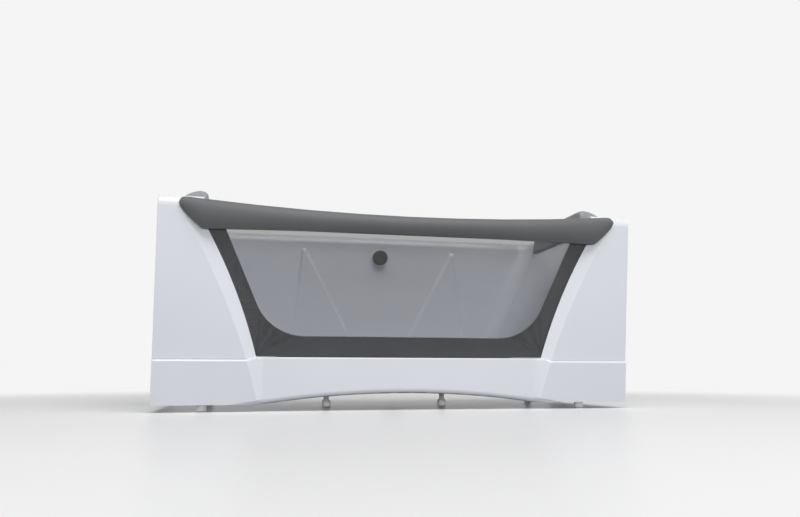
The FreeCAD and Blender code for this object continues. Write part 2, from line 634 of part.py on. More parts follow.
rail_back = new_body("rail_back")
RAIL_END_TOP = "rail_end_high - rail_dip * (1 - (rail_body_length / rail_length) ^ 2)"
pad(rail_back, "rail_back_pad", outline(rail_back, "rail_back_outline", [
    ("-rail_body_length / 2", "rail_low + rail_bow"), ("rail_body_length / 2", "rail_low + rail_bow"),
    ("rail_body_length / 2", RAIL_END_TOP, "0", "rail_end_high - rail_dip"),
    ("-rail_body_length / 2", RAIL_END_TOP)], offset="-relief / 2"), "rail_deep - relief / 2")
round_edges(rail_back, "rail_back_round", "rail_crown", lambda edge: ends_at(edge, "y", "rail_deep")
            and edge.Curve.TypeId == "Part::GeomCircle")
lean_on_front(rail_back)

rail_slot = new_body("rail_slot")
pad(rail_slot, "rail_slot_pad", outline(rail_slot, "rail_slot_outline", [
    ("-tub_length / 2", "rail_low - overrun"), ("tub_length / 2", "rail_low - overrun"),
    ("tub_length / 2", "glass_high + rail_gap"), ("-tub_length / 2", "glass_high + rail_gap")],
    offset="soft_gap - relief"), "glass_thick + frame_thick + seal_thick + shell_wall + soft_gap * 2")
lean_on_front(rail_slot)
rail_heel = new_body("rail_heel")
pad(rail_heel, "rail_heel_pad", outline(rail_heel, "rail_heel_outline", [
    ("rail_leg_length / 2", "rail_low - overrun"), ("tub_length / 2", "rail_low - overrun"),
    ("tub_length / 2", "glass_high + rail_gap"), ("rail_leg_length / 2", "glass_high + rail_gap")],
    offset="soft_gap - relief"), "rail_deep")
lean_on_front(rail_heel)
rim_corner = new_body("rim_corner")
rim_room = rim_corner.newObject("PartDesign::AdditiveBox", "rim_room")
bind(rim_room, {"Length": "tub_length / 2 - (%s)" % RAIL_ROOM, "Width": "tub_depth",
                "Height": "rim_edge + soft_gap"})
seat(rim_room, RAIL_ROOM, "-tub_depth / 2 - soft_gap", "rim_height - rim_edge")
round_edges(rim_corner, "rim_room_front", "rim_round + soft_gap", lambda edge: ends_at(
    edge, "z", "rim_height + soft_gap") and ends_at(edge, "y", "-tub_depth / 2 - soft_gap"))
top_rail = cut("top_rail", fuse("rail_blank", rail_cap, rail_back), rail_slot, rail_heel,
               mirrored("rail_heel_left", rail_heel), column_right, column_left, rim_corner,
               mirrored("rim_corner_left", rim_corner), *bolt_holes)

bolts = []
for number, (shank, place) in enumerate(zip(bolt_shanks("bolt_shank", "rail_bolt_radius"), bolt_places)):
    head = new_body("bolt_head_%d" % number)
    pad(head, "bolt_head_pad_%d" % number, outline(head, "bolt_head_round_%d" % number, [
        ("%s - rail_bolt_head" % place, "rail_bolt_height", place, "rail_bolt_height + rail_bolt_head"),
        ("%s + rail_bolt_head" % place, "rail_bolt_height", place, "rail_bolt_height - rail_bolt_head")],
        offset="-relief"), "rail_bolt_thick")
    bolts.append(fuse("bolt_%d" % number, shank, lean_on_front(head)))
rail_bolts = group("rail_bolts", bolts)

# Headrests: cushions that sit on the rim and hang a thin hem over its rolled edge into the bath.
# Stations along a cushion as shares of its half length, with its fullness there.
CUSHION_SHARES = ((-1.0, 0.78), (-0.95, 0.92), (-0.86, 0.98), (0.0, 1.0), (0.86, 0.98), (0.95, 0.92),
                  (1.0, 0.78))
SHOULDER_SHARE = 0.7
SLOPE_SHARES = (0.52, 0.63)
QUARTER_SHARE = math.sqrt(0.5)
rim_height = value("rim_height")
end_slope = math.atan2(value("rim_height - floor_height"), value("(opening_length - floor_length) / 2"))
lip_x = value("opening_length / 2") + value("lip_round") * math.tan(end_slope / 2)
lip_z = value("rim_height - lip_round")
roll = value("lip_round + soft_gap")


def on_roll(angle, y):
    """A point just clear of the rolled edge, at an angle up from the horizontal."""
    return Vector(lip_x - roll * math.cos(angle), y, lip_z + roll * math.sin(angle))


def headrest_section(along_share, fullness):
    """Closed section of a cushion: upright inner face, round crown, long slope, underside to fit the rim."""
    y = value("headrest_y") + along_share * value("headrest_length / 2")
    draw = value("headrest_draw") * (1 - fullness)
    face = value("headrest_face") + draw
    outer = value("headrest_outer") - draw
    rest = rim_height + value("soft_gap")
    crown = Vector(value("headrest_peak"), y, rim_height + value("headrest_rise") * fullness)
    shoulder = Vector(face, y, rim_height + value("headrest_rise") * fullness * SHOULDER_SHARE)
    edge = Vector(outer, y, rim_height + value("headrest_edge"))
    tangent = on_roll(math.pi / 2 - end_slope, y)
    tuck = face - value("headrest_tuck")
    hem_x = tuck + value("headrest_hem")
    hem = Vector(hem_x, y, tangent.z - (tangent.x - hem_x) * math.tan(end_slope))
    over_shoulder = Vector(crown.x - (crown.x - face) * QUARTER_SHARE, y,
                           shoulder.z + (crown.z - shoulder.z) * QUARTER_SHARE)
    down_slope = Vector(crown.x + (outer - crown.x) * SLOPE_SHARES[0], y,
                        edge.z + (crown.z - edge.z) * SLOPE_SHARES[1])
    heel = Vector(outer, y, rest)
    brow = on_roll(math.pi / 2, y)
    curves = [
        Part.LineSegment(Vector(tuck, y, hem.z), shoulder), Part.Arc(shoulder, over_shoulder, crown),
        Part.Arc(crown, down_slope, edge), Part.LineSegment(edge, heel), Part.LineSegment(heel, brow),
        Part.Arc(brow, on_roll(math.pi / 2 - end_slope / 2, y), tangent), Part.LineSegment(tangent, hem),
        Part.LineSegment(hem, Vector(tuck, y, hem.z))]
    return Part.Wire([curve.toShape() for curve in curves])


headrest_right = doc.addObject("Part::Feature", "headrest_right")
headrest_right.Shape = Part.makeLoft([headrest_section(*station) for station in CUSHION_SHARES], True, True)
headrest_left = mirrored("headrest_left", headrest_right)
headrest_pegs = group("headrest_pegs", [lathe("headrest_peg_%d" % number, [
    ("0", "-peg_head_thick"), ("peg_head", "-peg_head_thick"), ("peg_head", "0"), ("peg_radius", "0"),
    ("peg_radius", "shell_wall + soft_gap"), ("0", "shell_wall + soft_gap")],
    "%s * peg_x" % side, "headrest_y + %s * peg_spread / 2" % end, RIM_UNDER)
    for number, (side, end) in enumerate(peg_places)])

# Steel frame: two long rails, four cross members and four posts of square tube, welded.
FRAME_TOP = FLOOR_UNDER + " - board_thick"
FRAME_LOW = FRAME_TOP + " - tube"
FOOT_PLACES = {
    "front_left": ("-cross_outer_x", "rail_front_y"), "front_right": ("cross_outer_x", "rail_front_y"),
    "rear_left": ("-cross_outer_x", "rail_rear_y"), "rear_right": ("cross_outer_x", "rail_rear_y"),
    "middle_left": ("-cross_inner_x", "foot_middle_y"), "middle_right": ("cross_inner_x", "foot_middle_y")}
RAIL_LINES = {"front": "rail_front_y", "rear": "rail_rear_y"}
SIDES = {"left": "-", "right": ""}


def member(name, low, high, along, holes=()):
    """A square tube between two corners, open at both ends of its axis."""
    inner_low = [near if axis == along else "%s + tube_wall" % near for axis, near in zip("XYZ", low)]
    inner_high = [far if axis == along else "%s - tube_wall" % far for axis, far in zip("XYZ", high)]
    return cut(name, box(name + "_bar", low, high), box(name + "_bore", inner_low, inner_high), *holes)


def foot_hole(place):
    """The hole for a levelling stem through the underside of a tube."""
    x, y = FOOT_PLACES[place]
    return cylinder("foot_hole_" + place, "stem_radius + stem_clear", "tube_wall + overrun * 2", x, y,
                    FRAME_LOW + " - overrun")


frame = []
for line, y in RAIL_LINES.items():
    near, far = centred(y, "tube")
    frame.append(member("frame_rail_" + line, ("-post_x - tube / 2", near, FRAME_LOW),
                        ("post_x + tube / 2", far, FRAME_TOP), "X",
                        [foot_hole("%s_%s" % (line, side)) for side in SIDES]))
    for side, sign in SIDES.items():
        west, east = centred(sign + "post_x", "tube")
        frame.append(member("frame_post_%s_%s" % (line, side), (west, near, FRAME_TOP),
                            (east, far, RIM_UNDER), "Z"))
for name, x in (("outer", "cross_outer_x"), ("inner", "cross_inner_x")):
    for side, sign in SIDES.items():
        west, east = centred(sign + x, "tube")
        holes = [foot_hole("middle_" + side)] if name == "inner" else []
        frame.append(member("frame_cross_%s_%s" % (name, side), (west, "rail_front_y + tube / 2", FRAME_LOW),
                            (east, "rail_rear_y - tube / 2", FRAME_TOP), "Y", holes))

board_sheet = box("board_sheet", ("-board_length / 2", "board_front", FRAME_TOP),
                  ("board_length / 2", "board_back", FLOOR_UNDER))
board_hole = cylinder("board_hole", "waste_cup + board_gap", "board_thick + overrun * 2", y="waste_y",
                      z=FRAME_TOP + " - overrun")
floor_board = cut("floor_board", board_sheet, board_hole)

# Fixings between the frame and the outer skins.


def column_brackets(name, height):
    """Flat brackets from the front posts to the backs of the columns."""
    plates = []
    for side, sign in SIDES.items():
        west, east = centred(sign + "post_x", "tube")
        plate = box("%s_%s_plate" % (name, side), (west, "-tub_depth / 2", height),
                    (east, "rail_front_y - tube / 2", height + " + bracket_thick"))
        plates.append(cut("%s_%s" % (name, side), plate, behind_columns))
    return group(name, plates)


def side_spacers(name, levels):
    """Blocks from the outer faces of the frame to the inner faces of the end sheets."""
    blocks = []
    for line, y in RAIL_LINES.items():
        near, far = centred(y, "tube")
        for number, level in enumerate(levels):
            block = box("%s_%s_%d" % (name, line, number), ("post_x + tube / 2", near, level),
                        ("tub_length / 2 - panel_sheet", far, level + " + spacer_height"))
            blocks += [block, mirrored("%s_%s_%d_left" % (name, line, number), block)]
    return group(name, blocks)


brackets_lower = column_brackets("column_brackets_lower", "bracket_low")
brackets_upper = column_brackets("column_brackets_upper", "bracket_high")
end_panel_spacers = side_spacers("end_panel_spacers", ("spacer_low", "spacer_high"))
plinth_spacers = side_spacers("plinth_spacers", (FRAME_LOW,))
clips = []
for side, sign in SIDES.items():
    west, east = centred(sign + "clip_x", "clip_length")
    clip_block = box("plinth_clip_%s_block" % side, (west, "-tub_depth / 2", FRAME_LOW),
                     (east, "rail_front_y - tube / 2", FRAME_LOW + " + spacer_height"))
    clips.append(cut("plinth_clip_" + side, clip_block, behind_plinth))
plinth_clips = group("plinth_clips", clips)

# Levelling feet: threaded stems in welded nuts, each with a lock nut and a swivel pad.
STEM_LOW = "pad_height + pad_shoulder"
FOOT_PROFILE = [
    ("0", "0"), ("pad_radius - pad_edge", "0"), ("pad_radius", "pad_edge"), ("pad_radius", "pad_height"),
    ("pad_neck", STEM_LOW), ("0", STEM_LOW)]


def foot_nut(name, place, low, height):
    """A hexagon nut round a levelling stem."""
    x, y = FOOT_PLACES[place]
    prism = doc.addObject("Part::Prism", "%s_%s_prism" % (name, place))
    bind(prism, {"Circumradius": "nut_radius", "Height": height})
    bore = cylinder("%s_%s_bore" % (name, place), "stem_radius + running_fit", height, x, y, low)
    return cut("%s_%s" % (name, place), seat(prism, x, y, low), bore)


feet = []
for place, (x, y) in FOOT_PLACES.items():
    feet.append(cylinder("foot_" + place, "stem_radius", "stem_top - (%s)" % STEM_LOW, x, y, STEM_LOW))
    feet.append(lathe("foot_pad_" + place, FOOT_PROFILE, x, y))
NUT_LOW = FRAME_LOW + " - nut_height"
foot_nuts = group("foot_nuts", [foot_nut("foot_nut", place, NUT_LOW, "nut_height") for place in FOOT_PLACES])
lock_nuts = group("foot_lock_nuts", [foot_nut("foot_lock_nut", place, NUT_LOW + " - lock_nut_height",
                                              "lock_nut_height") for place in FOOT_PLACES])


def spider(name, radius, stem, start, along):
    """Two crossed bars with a hub that guides a stem on the axis of a sleeve, from a start (y, z)."""
    y, z = start
    bars = []
    for number, spans in enumerate(((radius, "spider_width / 2"), ("spider_width / 2", radius))):
        bar = box("%s_bar_%d" % (name, number), ("-(%s)" % spans[0], "-(%s)" % spans[1], "0"),
                  (spans[0], spans[1], "spider_thick"))
        bars.append(bar)
    cross = fuse(name + "_bars", *bars)
    axis, turn = TURNS[along]
    seat(cross, y=y, z=z, axis=axis, turn=turn)
    hub = cylinder(name + "_hub", "spider_hub", "spider_thick", y=y, z=z, along=along)
    bore = cylinder(name + "_bore", stem + " + running_fit", "spider_thick", y=y, z=z, along=along)
    return cut(name, fuse(name + "_cross", hub, cross), bore)


# Waste: flange and plug in the floor, a cup below it, a trap and an outlet to the wall.
sleeve_ring = lathe("waste_flange_ring", [
    ("waste_bore", "-sleeve_length"), ("waste_sleeve", "-sleeve_length"), ("waste_sleeve", "0"),
    ("waste_flange", "0"), ("waste_flange", "waste_lip / 2"), ("waste_flange - waste_lip / 2", "waste_lip"),
    ("waste_bore", "waste_lip")], y="waste_y", z="floor_height")
SLEEVE_MIDDLE = "(waste_bore + waste_sleeve) / 2"
waste_spider = spider("waste_spider", SLEEVE_MIDDLE, "plug_stem",
                      ("waste_y", "floor_height - sleeve_length"), "Z")
waste_flange = fuse("waste_flange", sleeve_ring, waste_spider)
waste_plug = lathe("waste_plug", [
    ("0", "-sleeve_length * 2"), ("plug_stem", "-sleeve_length * 2"), ("plug_stem", "waste_lip"),
    ("plug_radius", "waste_lip"),
    ("plug_radius", "waste_lip + plug_thick / 2", "plug_radius * 3 / 4", "waste_lip + plug_thick * 3 / 4"),
    ("plug_radius / 4", "waste_lip + plug_thick"), ("0", "waste_lip + plug_thick")],
    y="waste_y", z="floor_height")
WASTE_TOP = FLOOR_UNDER + " - gasket_thick"
waste_gasket = tube("waste_gasket", "waste_cup", "waste_cup - waste_sleeve - running_fit", "gasket_thick",
                    y="waste_y", z=WASTE_TOP)
PIPE_BORE = "pipe_radius - pipe_wall"
CUP_LOW = "waste_cup_low + pipe_radius"
waste_cup = lathe("waste_cup_turned", [
    (PIPE_BORE, "waste_cup_low"), ("pipe_radius", "waste_cup_low"), ("pipe_radius", CUP_LOW),
    ("waste_cup", CUP_LOW), ("waste_cup", WASTE_TOP), ("waste_cup - cup_wall", WASTE_TOP),
    ("waste_cup - cup_wall", CUP_LOW + " + cup_wall"), (PIPE_BORE, CUP_LOW + " + cup_wall")], y="waste_y")
HOSE_BORE = "hose_radius - hose_wall"
INLET = "waste_cup + boss_reach"
inlet = cylinder("waste_inlet", "hose_radius", INLET, y="waste_y", z="hose_height", along="Y")
inlet_bore = cylinder("waste_inlet_bore", HOSE_BORE, INLET, y="waste_y", z="hose_height", along="Y")
gland = cylinder("waste_gland", "cable_boss", INLET, "cable_x", "waste_y", "hose_height", "Y")
cup_room = cylinder("waste_cup_room", "waste_cup - cup_wall", WASTE_TOP + " - (%s) - cup_wall" % CUP_LOW,
                    y="waste_y", z=CUP_LOW + " + cup_wall")
waste_body = cut("waste_body", fuse("waste_cup_bosses", waste_cup, inlet, gland), cup_room, inlet_bore)


def torus(name, ring, bore_radius, sweep, x, y, z, axis, turn):
    """A bent round bar, part of a ring."""
    item = doc.addObject("Part::Torus", name)
    item.Angle3 = sweep
    bind(item, {"Radius1": ring, "Radius2": bore_radius})
    return seat(item, x, y, z, axis, turn)


OUTLET_X = "trap_radius * 2"
OUTLET_Z = "trap_height + elbow_radius"
ELBOW_Y = "waste_y + elbow_radius"
JOINT_Y = ELBOW_Y + " + trap_stub"


def trap_run(name, radius):
    """The trap: a leg down from the waste, a U, and an elbow with a short stub towards the wall."""
    return fuse(
        name, cylinder(name + "_leg", radius, "waste_cup_low - trap_height", y="waste_y", z="trap_height"),
        torus(name + "_bend", "trap_radius", radius, 180, "trap_radius", "waste_y", "trap_height",
              Vector(1, 0, 0), -90),
        torus(name + "_elbow", "elbow_radius", radius, 90, OUTLET_X, ELBOW_Y, "trap_height",
              Vector(1, -1, -1), 120),
        cylinder(name + "_stub", radius, "trap_stub", OUTLET_X, ELBOW_Y, OUTLET_Z, "Y"))


def trap_nut(name, **place):
    """A ring nut round a joint of the pipes."""
    return tube(name, "pipe_radius + nut_ring", "nut_ring - running_fit", "nut_ring_length", **place)


trap_bend = cut("trap_bend", trap_run("trap_outside", "pipe_radius"), trap_run("trap_inside", PIPE_BORE))
SPIGOT = "nut_ring_length / 2 + soft_gap"
OUTLET_LENGTH = "tub_depth / 2 - outlet_inset - (%s)" % JOINT_Y
outlet_pipe = lathe("outlet_pipe", [
    (PIPE_BORE, "0"), ("pipe_radius - outlet_step", "0"), ("pipe_radius - outlet_step", SPIGOT),
    ("pipe_radius", SPIGOT), ("pipe_radius", OUTLET_LENGTH), (PIPE_BORE, OUTLET_LENGTH)],
    x=OUTLET_X, y=JOINT_Y, z=OUTLET_Z, along="Y")
trap_nuts = group("trap_nuts", [
    trap_nut("trap_nut_inlet", y="waste_y", z="waste_cup_low - nut_ring_length / 2"),
    trap_nut("trap_nut_outlet", x=OUTLET_X, y=JOINT_Y + " - nut_ring_length / 2", z=OUTLET_Z, along="Y")])

# Overflow: a knob in the back wall that works the plug through a cable, and a ribbed hose down to the waste.
overflow_ring = lathe("overflow_flange_ring", [
    ("overflow_bore - cup_wall", "-overflow_lip"), ("overflow_flange", "-overflow_lip"),
    ("overflow_flange", "0"), ("overflow_bore", "0"), ("overflow_bore", "shell_wall * 2"),
    ("overflow_bore - cup_wall", "shell_wall * 2")],
    y=BACK_Y, z="overflow_height", along="Y")
overflow_spider = spider("overflow_spider", "overflow_bore - cup_wall / 2", "spindle",
                         (BACK_Y + " + shell_wall", "overflow_height"), "Y")
overflow_flange = fuse("overflow_flange", overflow_ring, overflow_spider)
BODY_Y = BACK_Y + " + shell_wall + gasket_thick"
overflow_gasket = tube("overflow_gasket", "overflow_cup", "overflow_cup - overflow_bore - running_fit",
                       "gasket_thick", y=BACK_Y + " + shell_wall", z="overflow_height", along="Y")
HOSE_Y = BODY_Y + " + hose_radius + hose_crest"
HOSE_TOP = "overflow_height - overflow_cup - boss_reach"
SPOUT = "overflow_cup + boss_reach"
overflow_cup = cylinder("overflow_cup_bar", "overflow_cup", "overflow_body_length",
                        y=BODY_Y, z="overflow_height", along="Y")
overflow_room = cylinder("overflow_room", "overflow_cup - cup_wall", "overflow_body_length - cup_wall",
                         y=BODY_Y, z="overflow_height", along="Y")
overflow_bearing = cylinder("overflow_bearing", "spindle + running_fit", "overflow_body_length + overrun",
                            y=BODY_Y, z="overflow_height", along="Y")
spout = cylinder("overflow_spout", "hose_radius", SPOUT, y=HOSE_Y, z=HOSE_TOP)
spout_bore = cylinder("overflow_spout_bore", HOSE_BORE, SPOUT, y=HOSE_Y, z=HOSE_TOP)
cable_gland = cylinder("overflow_gland", "cable_boss", SPOUT, "cable_x", HOSE_Y, HOSE_TOP)
overflow_body = cut("overflow_body", fuse("overflow_cup_bosses", overflow_cup, spout, cable_gland),
                    overflow_room, overflow_bearing, spout_bore)
KNOB_BACK = "-overflow_lip - knob_gap"
KNOB_FRONT = KNOB_BACK + " - knob_thick"
SPINDLE_END = "shell_wall + gasket_thick + overflow_body_length"
overflow_knob = lathe("overflow_knob", [
    ("0", KNOB_FRONT),
    ("knob_radius - knob_round", KNOB_FRONT, "knob_radius - knob_round * (1 - cos(45))",
     KNOB_FRONT + " + knob_round * (1 - cos(45))"),
    ("knob_radius", KNOB_FRONT + " + knob_round"), ("knob_radius", KNOB_BACK), ("spindle", KNOB_BACK),
    ("spindle", SPINDLE_END), ("0", SPINDLE_END)], y=BACK_Y, z="overflow_height", along="Y")


def drop_path(x, bend):
    """Route from under the overflow down, round a bend and forward to the waste: line, arc and line."""
    y, top, low = value(HOSE_Y), value(HOSE_TOP), value("hose_height")
    end = value("waste_y + " + INLET)
    turn = Vector(x, y - bend, low + bend)
    middle = turn + Vector(0, bend, -bend) * QUARTER_SHARE
    start_bend = Vector(x, y, low + bend)
    end_bend = Vector(x, y - bend, low)
    return [Part.LineSegment(Vector(x, y, top), start_bend), Part.Arc(start_bend, middle, end_bend),
            Part.LineSegment(end_bend, Vector(x, end, low))]


def ring_at(curve, along, radius):
    """A circle square to a curve at a length along it, with its start on the bath's long axis."""
    parameter = curve.parameterAtDistance(along, curve.FirstParameter)
    circle = Part.Circle(curve.value(parameter), Vector(*curve.tangent(parameter)[0]), radius)
    circle.XAxis = Vector(1, 0, 0)
    return Part.Wire(circle.toShape())


def swept(path, radius):
    """A round bar along a route."""
    start = Part.Circle(path[0].StartPoint, Vector(0, 0, 1), radius)
    route = Part.Wire([curve.toShape() for curve in path])
    return route.makePipeShell([Part.Wire(start.toShape())], True, False)


# Shares of one rib's pitch, and how far out of the groove the wall stands there.
RIB_SHARES = ((0.1, 0.0), (0.35, 1.0), (0.65, 1.0), (0.9, 0.0))
hose_path = drop_path(0, value("hose_bend"))
hose_length = sum(curve.length() for curve in hose_path)
rib_count = int((hose_length - value("hose_cuff * 2")) / value("hose_pitch"))
first_rib = (hose_length - rib_count * value("hose_pitch")) / 2
groove, crest = value("hose_radius"), value("hose_crest")
places = [(0, groove)]
places += [(first_rib + (rib + share) * value("hose_pitch"), groove + rise_share * crest)
           for rib in range(rib_count) for share, rise_share in RIB_SHARES]
places += [(hose_length, groove)]
rings = []
for along, radius in places:
    for curve in hose_path:
        if along <= curve.length() or curve is hose_path[-1]:
            rings.append(ring_at(curve, along, radius))
            break
        along -= curve.length()
overflow_hose = doc.addObject("Part::Feature", "overflow_hose")
overflow_hose.Shape = Part.makeLoft(rings, True, True).cut(swept(hose_path, value(HOSE_BORE)))
plug_cable = doc.addObject("Part::Feature", "plug_cable")
plug_cable.Shape = swept(drop_path(value("cable_x"), value("cable_bend")), value("cable_radius"))

# Every piece is checked and written under its own name.
pieces = [
    tub_shell, column_left, column_right, end_panel_left, end_panel_right,
    plinth_front, plinth_left, plinth_right, glass_pane, glazing_frame, glazing_seal,
    top_rail, rail_bolts, headrest_left, headrest_right, headrest_pegs,
    floor_board, brackets_lower, brackets_upper, end_panel_spacers, plinth_spacers, plinth_clips,
    foot_nuts, lock_nuts, waste_flange, waste_plug, waste_gasket, waste_body,
    trap_bend, outlet_pipe, trap_nuts, overflow_flange, overflow_gasket, overflow_body,
    overflow_knob, overflow_hose, plug_cable] + frame + feet
doc.recompute()
for item in doc.Objects:
    if "Invalid" in item.State or "Error" in item.State:
        raise RuntimeError("%s could not be built" % item.Label)
os.makedirs("parts", exist_ok=True)
for item in pieces:
    if item.Shape.isNull() or not item.Shape.isValid():
        raise RuntimeError("%s has no valid shape" % item.Label)
    item.Shape.exportStep("parts/%s.step" % item.Label)
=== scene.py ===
import math
import bpy
import numpy as np
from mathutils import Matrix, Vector


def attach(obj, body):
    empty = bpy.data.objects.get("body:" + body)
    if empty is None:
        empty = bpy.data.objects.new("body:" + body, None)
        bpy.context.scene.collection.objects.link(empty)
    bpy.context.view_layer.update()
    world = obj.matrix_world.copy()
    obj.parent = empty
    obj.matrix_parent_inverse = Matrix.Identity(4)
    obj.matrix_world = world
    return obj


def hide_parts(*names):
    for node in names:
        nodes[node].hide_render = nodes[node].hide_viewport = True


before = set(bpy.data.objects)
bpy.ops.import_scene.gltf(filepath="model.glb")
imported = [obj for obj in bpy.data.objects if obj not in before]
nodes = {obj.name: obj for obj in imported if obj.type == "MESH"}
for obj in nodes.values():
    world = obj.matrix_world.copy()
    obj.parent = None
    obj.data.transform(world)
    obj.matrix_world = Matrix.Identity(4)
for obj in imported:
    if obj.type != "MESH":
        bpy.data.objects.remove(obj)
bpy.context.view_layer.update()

# Basin: one vacuum-formed sheet of white sanitary acrylic with a broad rim, rolled lip and faceted back wall.
# It hangs by its rim on the steel posts and rests on the board under its floor.
CLOUD_DETAIL = 3.0
CLOUD_STOPS = (0.3, 0.7)
GRAIN_DETAIL = 2.0
GRAIN_STRENGTH = 0.6
COAT_ROUGHNESS = 0.04
OPAQUE = 1.0


def add_node(tree, kind, sockets=(), **settings):
    """A shader node with its settings, such as an operation, and with values on the given sockets."""
    node = tree.nodes.new(kind)
    for setting, value in settings.items():
        setattr(node, setting, value)
    for socket, value in dict(sockets).items():
        node.inputs[socket].default_value = value
    return node


def add_links(tree, *links):
    """Joins shader nodes. Each link is the node it leaves, a socket there, the node it enters, a socket."""
    for source, leaving, target, entering in links:
        tree.links.new(source.outputs[leaving], target.inputs[entering])


def surface(name, pale, dark, cloud_scale, roughness, grain_scale, grain_depth, metallic=0.0, coat=0.0):
    """A finish that drifts between two tones in soft clouds, with a fine grain in its gloss and relief."""
    material = bpy.data.materials.new(name)
    material.use_nodes = True
    tree = material.node_tree
    shader = tree.nodes["Principled BSDF"]
    shader.inputs["Metallic"].default_value = metallic
    shader.inputs["Coat Weight"].default_value = coat
    shader.inputs["Coat Roughness"].default_value = COAT_ROUGHNESS
    place = add_node(tree, "ShaderNodeTexCoord")
    clouds = add_node(tree, "ShaderNodeTexNoise", {"Scale": cloud_scale, "Detail": CLOUD_DETAIL})
    tones = add_node(tree, "ShaderNodeValToRGB")
    for number, tone in enumerate((dark, pale)):
        tones.color_ramp.elements[number].position = CLOUD_STOPS[number]
        tones.color_ramp.elements[number].color = (*tone, OPAQUE)
    grain = add_node(tree, "ShaderNodeTexNoise", {"Scale": grain_scale, "Detail": GRAIN_DETAIL})
    gloss = add_node(tree, "ShaderNodeMapRange", {"To Min": roughness[0], "To Max": roughness[1]})
    relief = add_node(tree, "ShaderNodeBump", {"Strength": GRAIN_STRENGTH, "Distance": grain_depth})
    add_links(tree, (place, "Object", clouds, "Vector"), (clouds, "Fac", tones, "Fac"),
              (tones, "Color", shader, "Base Color"), (place, "Object", grain, "Vector"),
              (grain, "Fac", gloss, "Value"), (gloss, "Result", shader, "Roughness"),
              (grain, "Fac", relief, "Height"), (relief, "Normal", shader, "Normal"))
    return material


def dress(material, *names):
    """Gives CAD nodes a finish in all their material slots."""
    for name in names:
        slots = nodes[name].data.materials
        for number in range(len(slots)):
            slots[number] = material


acrylic = surface("white_acrylic", pale=(0.80, 0.82, 0.88), dark=(0.78, 0.80, 0.87), cloud_scale=2.5,
                  roughness=(0.16, 0.22), grain_scale=900.0, grain_depth=0.00004, coat=0.3)
dress(acrylic, "tub_shell")

# Skins: two front columns, the arched front plinth and the flat end sheets, moulded from the same acrylic.
# They stand on brackets and blocks of the frame, and a bevel along the plinth's top edge marks the seam.
dress(acrylic, "column_left", "column_right", "plinth_front", "plinth_left", "plinth_right",
      "end_panel_left", "end_panel_right")

# Window: a clear toughened pane bonded to a dark printed frame, with a black seal behind it.
# The stack sits in a rebate of the front wall and reaches up into the rail.
border = surface("border_print", pale=(0.200, 0.206, 0.218), dark=(0.182, 0.188, 0.200), cloud_scale=6.0,
                 roughness=(0.35, 0.45), grain_scale=700.0, grain_depth=0.00003)
dress(border, "glazing_frame")
rubber = surface("black_rubber", pale=(0.030, 0.030, 0.031), dark=(0.022, 0.022, 0.023), cloud_scale=9.0,
                 roughness=(0.65, 0.80), grain_scale=500.0, grain_depth=0.0001)
dress(rubber, "glazing_seal")
STREAK_SCALE = 2.0
GLASS_POLISH = 0.02
EVEN_BLEND = 0.5
GRAZING_POWER = 5.0
STRAIGHT_MIRROR = 0.034


def clear_pane(name, tint_and_painted_shade, streak):
    """Glass as a see-through sheet with faint streaks, its tint partly the glass's own and partly painted
    shade that darkens the bowl seen through it. Its mirror coat grows by the fifth power of how far the
    face turns away, alike on both faces, from what glass reflects straight on to a full mirror edge on."""
    material = bpy.data.materials.new(name)
    material.use_nodes = True
    tree = material.node_tree
    tree.nodes.remove(tree.nodes["Principled BSDF"])
    place = add_node(tree, "ShaderNodeTexCoord")
    streaks = add_node(tree, "ShaderNodeTexNoise", {"Scale": STREAK_SCALE})
    tones = add_node(tree, "ShaderNodeValToRGB")
    for number, tone in enumerate((streak, tint_and_painted_shade)):
        tones.color_ramp.elements[number].color = (*tone, OPAQUE)
    through = add_node(tree, "ShaderNodeBsdfTransparent")
    mirror = add_node(tree, "ShaderNodeBsdfGlossy", {"Roughness": GLASS_POLISH})
    turned = add_node(tree, "ShaderNodeLayerWeight", {"Blend": EVEN_BLEND})
    grazing = add_node(tree, "ShaderNodeMath", {1: GRAZING_POWER}, operation="POWER")
    edge = add_node(tree, "ShaderNodeMapRange", {"To Min": STRAIGHT_MIRROR})
    mix = add_node(tree, "ShaderNodeMixShader")
    add_links(tree, (place, "Object", streaks, "Vector"), (streaks, "Fac", tones, "Fac"),
              (tones, "Color", through, "Color"), (turned, "Facing", grazing, 0),
              (grazing, "Value", edge, "Value"), (edge, "Result", mix, "Fac"),
              (through, "BSDF", mix, 1), (mirror, "BSDF", mix, 2),
              (mix, "Shader", tree.nodes["Material Output"], "Surface"))
    return material


# The pane's tint is partly the glass's own and partly painted shade over the bowl behind it.
glass = clear_pane("clear_glass", tint_and_painted_shade=(0.67, 0.67, 0.67), streak=(0.65, 0.65, 0.65))
dress(glass, "glass_pane")

# Top rail: a satin grey moulding over the upper edge of the glass, whose pointed ends nest in the columns.
# Two bolts from behind the columns hold its ends.
rail_finish = surface("rail_satin", pale=(0.108, 0.111, 0.117), dark=(0.098, 0.101, 0.107), cloud_scale=5.0,
                      roughness=(0.55, 0.63), grain_scale=1100.0, grain_depth=0.00003)
dress(rail_finish, "top_rail")
zinc = surface("zinc_plate", pale=(0.60, 0.61, 0.63), dark=(0.48, 0.49, 0.51), cloud_scale=24.0,
               roughness=(0.32, 0.48), grain_scale=600.0, grain_depth=0.00003, metallic=1.0)
dress(zinc, "rail_bolts")

